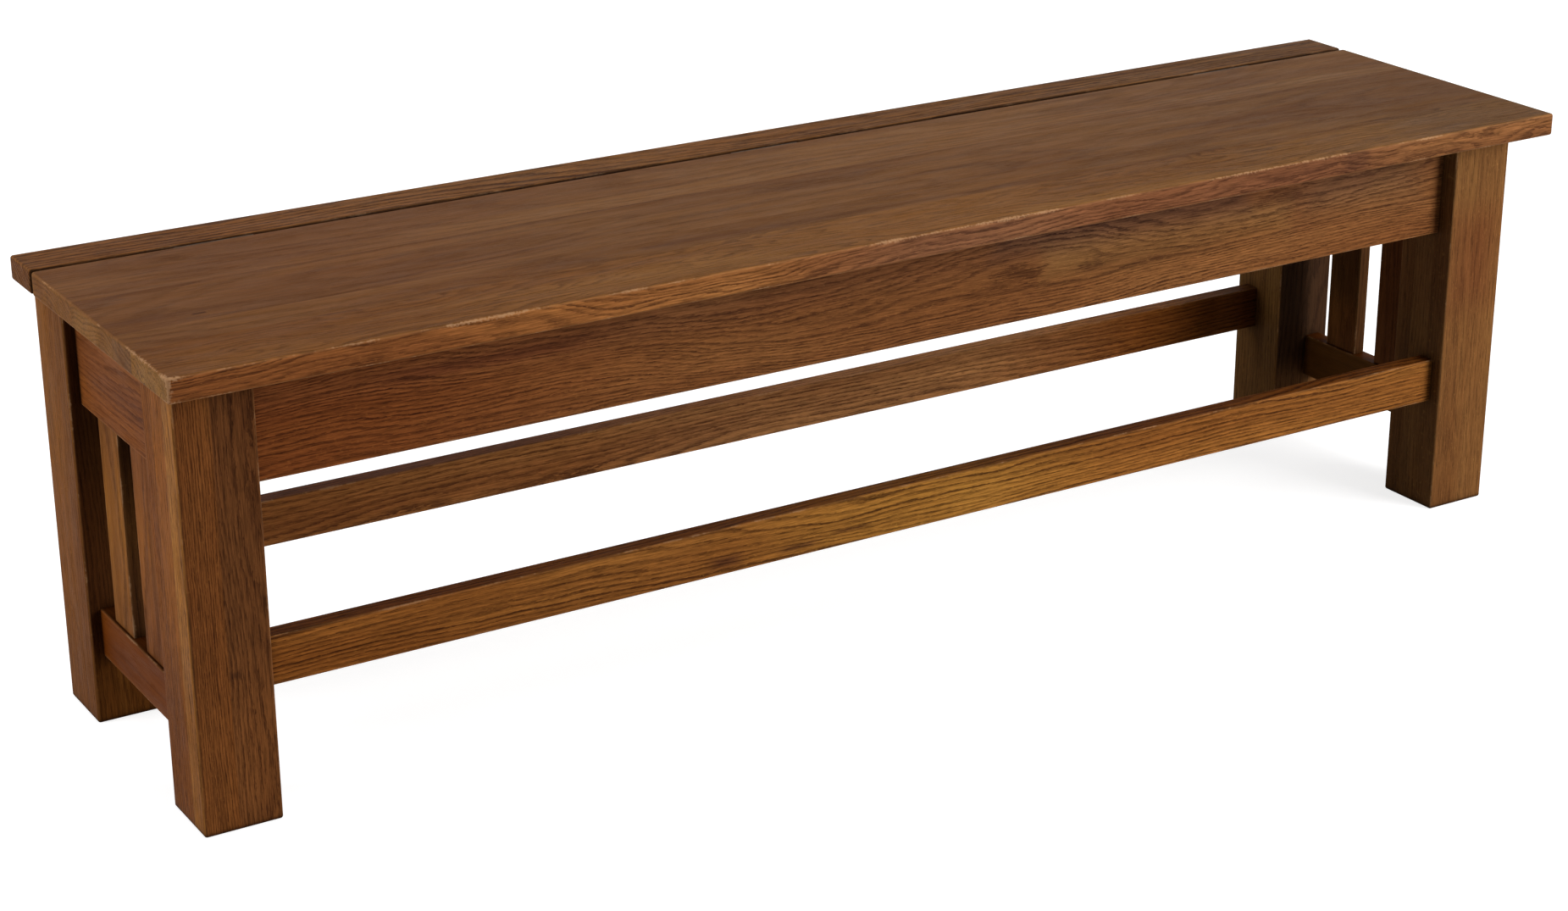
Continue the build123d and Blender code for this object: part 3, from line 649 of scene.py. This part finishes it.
# The redder left end, the darker right part, and two paler stretches towards the rear
top_tones = (
    zone((0.92, 0.84, 0.78), 0.5, x=below(-0.42)),
    zone((0.84, 0.88, 0.98), 0.7, x=above(0.36)),
    zone((1.14, 1.17, 1.16), 0.12, x=above(0.62), y=above(-0.05)),
    zone((1.1, 1.1, 1.12), 0.16, x=(-0.6, -0.38), y=above(-0.12)),
)
# The photo's dark streak, the paler one behind it and the small knot near the left end
MARK_SLOPE = -0.028
mark_z = (top_z - 0.007, top_z + 0.003)
lid_marks = (
    zone((0.72, 0.68, 0.74), 0.012, x=(-0.28, 0.4), y=(-0.112, -0.104), z=mark_z, slope=MARK_SLOPE),
    zone((1.1, 1.12, 1.05), 0.03, x=(-0.1, 0.78), y=(-0.09, -0.079), z=mark_z, slope=MARK_SLOPE),
    zone((0.3, 0.28, 0.4), 0.0035, x=(-0.7085, -0.6965), y=(-0.0555, -0.0525)),
)
# Chipped stretches of the front edge, the front left corner and the left end's edge
rim_y, rim_z = (front_y - 0.01, front_y + 0.004), (top_z - 0.004, top_z + 0.01)
chips = tuple(
    zone(soft=(0.03, 0.002, 0.002), x=span, y=rim_y, z=rim_z)
    for span in ((-0.53, -0.428), (-0.1, 0.134), (0.315, 0.498))
) + (
    zone(soft=0.008, x=(left_x - 0.01, left_x + 0.012), y=(front_y - 0.01, front_y + 0.012)),
    zone(soft=(0.002, 0.04, 0.002), x=(left_x - 0.01, left_x + 0.004), y=(front_y, 0.03), z=rim_z),
)
# The lid's front edge face with three stretches of it, two stretches of the top beside it, and a dark spot
edge_face = below(front_y + 2 * SKIN)
near_top = above(top_z - 0.004)
FACE_BLUR, RIM_BLUR = (0.2, SHARP, 0.1), (0.14, 0.01, SHARP)
front_edge_tones = (
    zone((1.41, 1.29, 1.42), y=edge_face),
    zone((0.7, 0.66, 0.86), FACE_BLUR, x=(0.12, 0.54), y=edge_face),
    zone((1.22, 1.26, 1.18), FACE_BLUR, x=(-0.5, -0.2), y=edge_face),
    zone((0.95, 1.05, 1.5), FACE_BLUR, x=(-0.12, 0.12), y=edge_face),
    zone((1.2, 1.22, 1.18), RIM_BLUR, x=(-0.14, 0.14), z=near_top),
    zone((0.78, 0.82, 0.98), RIM_BLUR, x=above(0.6), y=above(front_y + 0.002), z=near_top),
    zone((0.45, 0.45, 0.6), 0.03, x=(0.5, 0.522), y=edge_face, z=(top_z - 0.019, top_z + 0.003)),
)
LID = dict(edge_box=lid_box, ring=5.5, wander=60, rings=0.5, pores=0.4, streak=0.36, ripple=0.8,
           quiet_top=0.56, wear=0.9)
board_looks = {
    "lid_board_1": dict(tone=(0.147, 0.064, 0.0232), seed=11, pith=(18, -120), end_grain=(0.95, 0.94, 0.72),
                        seams=(seam_shade,)),
    "lid_board_2": dict(tone=(0.13, 0.0545, 0.0188), seed=23, pith=(-25, -95), end_grain=(1.24, 1.4, 1.16)),
    "lid_board_3": dict(tone=(0.139, 0.0585, 0.0188), seed=31, pith=(8, -160), end_grain=(1.03, 1.18, 1.38)),
    "lid_board_4": dict(tone=(0.167, 0.0695, 0.0194), seed=47, pith=(30, -60), end_grain=(1.36, 1.7, 1.72),
                        ring=3.6, bend=30.0, rings=0.8, pores=0.5, quiet_top=0.66, chips=chips,
                        tints=front_edge_tones),
}
for name, look in board_looks.items():
    look["tints"] = look.get("tints", ()) + top_tones + lid_marks
    dress_oak(name, "x", **{**LID, **look})

strip_tones = (
    zone((1.13, 1.12, 1.02), 0.4, x=(-0.15, 0.2)),
    zone((0.85, 0.85, 0.93), 0.2, x=above(0.6)),
)
dress_oak("strip_rear", "x", tone=(0.139, 0.0563, 0.0164), seed=59, pith=(10, -60), rings=1.0, pores=0.9,
          streak=0.42, ripple=1.2, quiet_top=0.95, wear=0.5, tints=top_tones + strip_tones,
          seams=(seam_shade,))


# Legs, glued from layers; the front left leg's front face shows a joint

LEG_SKIN = 0.001
leg_low, leg_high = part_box("leg_front_left")
leg_x, leg_y = leg_low.x, leg_low.y
joint_x = leg_x + 0.034
rear_leg_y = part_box("leg_rear_left")[0].y
outer_face = below(leg_x + LEG_SKIN)
front_face, behind_front = below(leg_y + LEG_SKIN), above(leg_y + LEG_SKIN)
inner_faces = {
    "left": above(leg_high.x - LEG_SKIN),
    "right": below(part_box("leg_front_right")[0].x + LEG_SKIN),
}
# Painted shade on the legs' inner faces
inner_face_shade = {"left": (0.7, 0.66, 0.62), "right": (0.74, 0.8, 0.85)}
foot = zone((0.45, 0.42, 0.42), 0.004, z=below(0.0035))


def shaded_front(tint):
    """Painted shade on the front face of a rear leg above its foot."""
    return zone(tint, (SHARP, SHARP, 0.05), y=below(rear_leg_y + SKIN), z=above(0.08))


LEG = dict(glue=(46, 28), shift=(4, 41), ring=3.8, rings=0.5, pores=0.6, ripple=0.45, wear=0.45)
leg_looks = {
    "leg_front_left": dict(
        tone=(0.184, 0.063, 0.0158), seed=61, pith=(12, -66), ring=2.5, rings=0.7, pores=0.8, ripple=0.7,
        glue_tone=0.05, tints=(
            # The layer right of the joint, the paler lower part, the outer face's dark lower part and the
            # front face's darker upper part
            zone((0.68, 0.68, 0.8), x=above(joint_x)),
            zone((1.15, 1.18, 1.15), 0.12, x=above(leg_x + 0.0015), z=below(0.12)),
            zone((0.76, 0.71, 0.68), (SHARP, SHARP, 0.1), x=outer_face, y=behind_front, z=below(0.16)),
            zone((0.86, 0.87, 0.9), (SHARP, SHARP, 0.08), x=above(joint_x - 0.0025), y=front_face,
                 z=above(0.17)),
            # The outer face, its pale front layer, and a dark spot on the front face
            zone((0.98, 0.95, 0.77), x=outer_face),
            zone((1.59, 1.95, 2.04), x=outer_face, y=below(leg_y + 0.025)),
            zone((0.5, 0.5, 0.6), 0.006, x=(joint_x + 0.0005, joint_x + 0.0105),
                 y=(leg_y - 0.014, leg_y + 0.006), z=(0.149, 0.156)),
        )),
    "leg_rear_left": dict(
        tone=(0.137, 0.0462, 0.0083), seed=73, pith=(-20, -60), glue_tone=0.12, tints=(
            # Painted shade on the front face, and the paler upper part
            shaded_front((0.52, 0.52, 0.75)),
            zone((1.1, 1.15, 1.12), 0.1, z=above(0.24)),
        )),
    "leg_front_right": dict(
        tone=(0.166, 0.069, 0.0207), seed=79, pith=(-60, 30), rings=0.3, fleck=0.5, glue_tone=0.08, tints=(
            # A redder patch and the paler top
            zone((0.92, 0.8, 0.85), 0.06, x=(0.7, 0.76), z=(0.24, 0.34)),
            zone((1.08, 1.15, 1.2), 0.08, z=(0.36, 0.5)),
        )),
    "leg_rear_right": dict(
        tone=(0.14, 0.06, 0.019), seed=87, pith=(25, 80), glue_tone=0.1, tints=(
            # Painted shade on the front face, and painted light on the inner face
            shaded_front((0.33, 0.35, 0.5)),
            zone((1.33, 1.35, 1.13), x=inner_faces["right"]),
        )),
}
for name, look in leg_looks.items():
    side = name.rsplit("_", 1)[1]
    look["tints"] += (zone(inner_face_shade[side], x=inner_faces[side]), foot)
    dress_oak(name, "z", **{**LEG, **look})


# Aprons and stretchers

apron_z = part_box("apron_front")[1].z
stretcher_z, stretcher_top_z = (corner.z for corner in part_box("stretcher_front"))
stretcher_top = above(stretcher_top_z - SKIN)
rear_stretcher_face = below(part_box("stretcher_rear")[0].y + SKIN)
RAIL = dict(rings=0.6, pores=0.8, ripple=0.75, wear=0.45)
rail_looks = {
    "apron_front": dict(
        tone=(0.206, 0.08, 0.0245), seed=101, pith=(52, -80), ring=3.4, wander=80, rings=0.78, bend=15.0,
        tints=(
            # The shade below the lid, the redder left end, and patches of the figure right of the middle
            zone((0.88, 0.9, 1.08), 0.04, z=above(apron_z - 0.048)),
            zone((0.94, 0.71, 0.57), 0.5, x=below(-0.42)),
            zone((0.72, 0.8, 1.1), 0.04, x=(0.1, 0.42), z=above(apron_z - 0.038)),
            zone((1.12, 1.3, 1.32), 0.03, x=(0.16, 0.48), z=(apron_z - 0.073, apron_z - 0.039)),
            zone((1.16, 1.22, 1.14), 0.05, x=above(0.6), z=above(apron_z - 0.043)),
            zone((0.86, 0.98, 1.2), 0.08, x=(0.5, 0.66), z=above(apron_z - 0.063)),
            # A dark stroke left of the middle
            zone((0.72, 0.66, 0.74), (0.08, SHARP, 0.008), x=(-0.56, -0.37),
                 z=(apron_z - 0.047, apron_z - 0.035)),
        )),
    "apron_rear": dict(tone=(0.175, 0.063, 0.019), seed=110, pith=(-40, -75), ring=5.0, wander=70),
    "stretcher_front": dict(
        tone=(0.257, 0.096, 0.0198), seed=131, pith=(56, -44), ring=4.6, wander=46, rings=1.0, bend=12.0,
        tints=(
            # The shaded top, the golden middle and the redder left end
            zone((0.585, 0.485, 0.43), z=stretcher_top),
            zone((1.32, 1.58, 1.38), 0.3, x=(-0.12, 0.16)),
            zone((0.86, 0.78, 0.72), 0.3, x=below(-0.5)),
            # Three dark spots near the lower edge
            zone((0.48, 0.46, 0.74), (0.024, SHARP, 0.009), x=(-0.234, -0.203),
                 z=(stretcher_z + 0.0075, stretcher_z + 0.018)),
            zone((0.46, 0.44, 0.68), (0.026, SHARP, 0.006), x=(-0.152, -0.116),
                 z=(stretcher_z + 0.0075, stretcher_z + 0.013)),
            zone((0.45, 0.42, 0.6), (0.02, SHARP, 0.003), x=(-0.09, -0.054),
                 z=(stretcher_z + 0.014, stretcher_z + 0.0171)),
        )),
    "stretcher_rear": dict(
        tone=(0.268, 0.104, 0.03), seed=140, pith=(-58, -40), ring=3.6, wander=40, rings=0.8, bend=7.0,
        tints=(
            # The top, with painted shade at the left and a paler stretch right of the middle, and painted
            # shade on the right end
            zone((0.38, 0.33, 0.45), (0.3, SHARP, SHARP), x=below(-0.15), z=stretcher_top),
            zone((1.3, 1.46, 1.7), (0.16, SHARP, SHARP), x=(0.02, 0.44), z=stretcher_top),
            zone((0.32, 0.3, 0.3), 0.16, x=above(0.6)),
            # The front face, greyer in the middle and redder at the right, and the darker left end
            zone((1.08, 1.21, 1.45), (0.2, SHARP, 0.1), x=(-0.16, 0.38), y=rear_stretcher_face),
            zone((1.02, 0.86, 0.55), (0.14, SHARP, 0.1), x=above(0.48), y=rear_stretcher_face),
            zone((0.85, 0.8, 0.75), 0.3, x=below(-0.4)),
        )),
}
for name, look in rail_looks.items():
    dress_oak(name, "x_face", **{**RAIL, **look})


# End rails and slats: their inner faces, the rails' tops and the slats' front faces lie in shade

INNER_SHADE, TOP_SHADE, FRONT_SHADE = (0.55, 0.55, 0.65), (0.5, 0.5, 0.6), (0.36, 0.38, 0.55)
END = dict(rings=0.5, pores=0.5, ripple=0.5, wear=0.4)
QUIET_END = dict(rings=0.12, pores=0.15, ripple=0.15, wear=0.4)
# The seeds are the left pieces', and the right ones add a step
RIGHT_SEED_STEP = 12
end_looks = {
    "end_rail_top_{}": dict(END, run="y", tone=(0.14, 0.0445, 0.0112), seed=188, pith=(20, -80)),
    "end_rail_bottom_{}": dict(QUIET_END, run="y", tone=(0.098, 0.0247, 0.0029), seed=156, pith=(-15, -60)),
    "slat_{}_front": dict(END, run="z_face", tone=(0.162, 0.054, 0.0122), seed=174, pith=(8, -70)),
    "slat_{}_rear": dict(END, run="z_face", tone=(0.16, 0.0575, 0.0122), seed=135, pith=(-30, -75)),
}


def height_zone(tint, soft, z, x=(-FAR, FAR)):
    """A zone of one height range, soft along z only."""
    return zone(tint, (SHARP, SHARP, soft), x=x, z=z)


top_rail_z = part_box("end_rail_top_left")[1].z
# The left slats: a paler stretch halfway up and the darker foot
left_slat_tones = (
    height_zone((1.2, 1.24, 1.08), 0.06, z=(0.2, 0.28)),
    height_zone((0.86, 0.84, 0.9), 0.03, z=below(0.155)),
)
# The left top rail: a darker band along its middle, the paler lower edge and the paler upper part
left_top_rail_tones = (
    height_zone((0.93, 0.91, 0.96), 0.02, z=(top_rail_z - 0.061, top_rail_z - 0.039)),
    height_zone((1.2, 1.2, 1.04), 0.014, z=below(top_rail_z - 0.075)),
    height_zone((1.12, 1.14, 1.12), 0.016, z=above(top_rail_z - 0.031)),
)


def end_tints(name, side):
    """Zones of one end rail or slat."""
    low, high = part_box(name)
    inner_x = high.x if side == "left" else low.x
    # In the photo the right low rail's inner face is less red than the others
    inner_tint = (0.62, 0.92, 1.5) if name == "end_rail_bottom_right" else INNER_SHADE
    tints = (zone(inner_tint, x=(inner_x - SKIN, inner_x + SKIN)),)
    if name.startswith("slat"):
        tints += (zone(FRONT_SHADE, y=below(low.y + SKIN)),)
    else:
        tints += (zone(TOP_SHADE, z=above(high.z - SKIN)),)
    if name.startswith("slat_left"):
        tints += left_slat_tones
    elif name == "slat_right_rear":
        # Painted shade on the upper part of its inner face
        tints += (height_zone((0.6, 0.65, 0.7), 0.06, z=above(0.18), x=below(inner_x + SKIN)),)
    elif name == "end_rail_top_left":
        tints += left_top_rail_tones
    return tints


for pattern, look in end_looks.items():
    for side, step in (("left", 0), ("right", RIGHT_SEED_STEP)):
        name = pattern.format(side)
        dress_oak(name, tints=end_tints(name, side), **{**look, "seed": look["seed"] + step})


# Inside the storage box

INSIDE = dict(tone=(0.3, 0.178, 0.085), rings=0.4, pores=0.4, wear=0.1, crease_shade=0.4)
INSIDE_SEED, INSIDE_SEED_STEP = 191, 7
INSIDE_PITH, INSIDE_PITH_STEP = 9, -5
inside_runs = {
    "bottom_cleat_front": "x", "bottom_cleat_rear": "x", "bottom_cleat_left": "y",
    "bottom_cleat_right": "y", "lid_batten_left": "y", "lid_batten_middle": "y",
    "lid_batten_right": "y", "strip_dowels": "z",
}
for index, (name, run) in enumerate(inside_runs.items()):
    seed = INSIDE_SEED + INSIDE_SEED_STEP * index
    pith = (INSIDE_PITH + INSIDE_PITH_STEP * index, -60)
    dress_oak(name, run, seed=seed, pith=pith, **INSIDE)
dress("storage_bottom", plywood("storage_bottom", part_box("storage_bottom"), tone=(0.46, 0.29, 0.14)))


# Hinges, stays and screws

bronze = metal("hinge_bronze", tone=(0.013, 0.0095, 0.007), worn_tone=(0.05, 0.034, 0.02), rough_low=0.42,
               rough_high=0.6, patches=160.0)
steel = metal("zinc_steel", tone=(0.56, 0.55, 0.51), worn_tone=(0.75, 0.74, 0.7), rough_low=0.28,
              rough_high=0.45, patches=90.0)
for name in nodes:
    if name.startswith("hinge_"):
        dress(name, bronze)
    elif name.startswith("stay_") or name.endswith("_screws"):
        dress(name, steel)
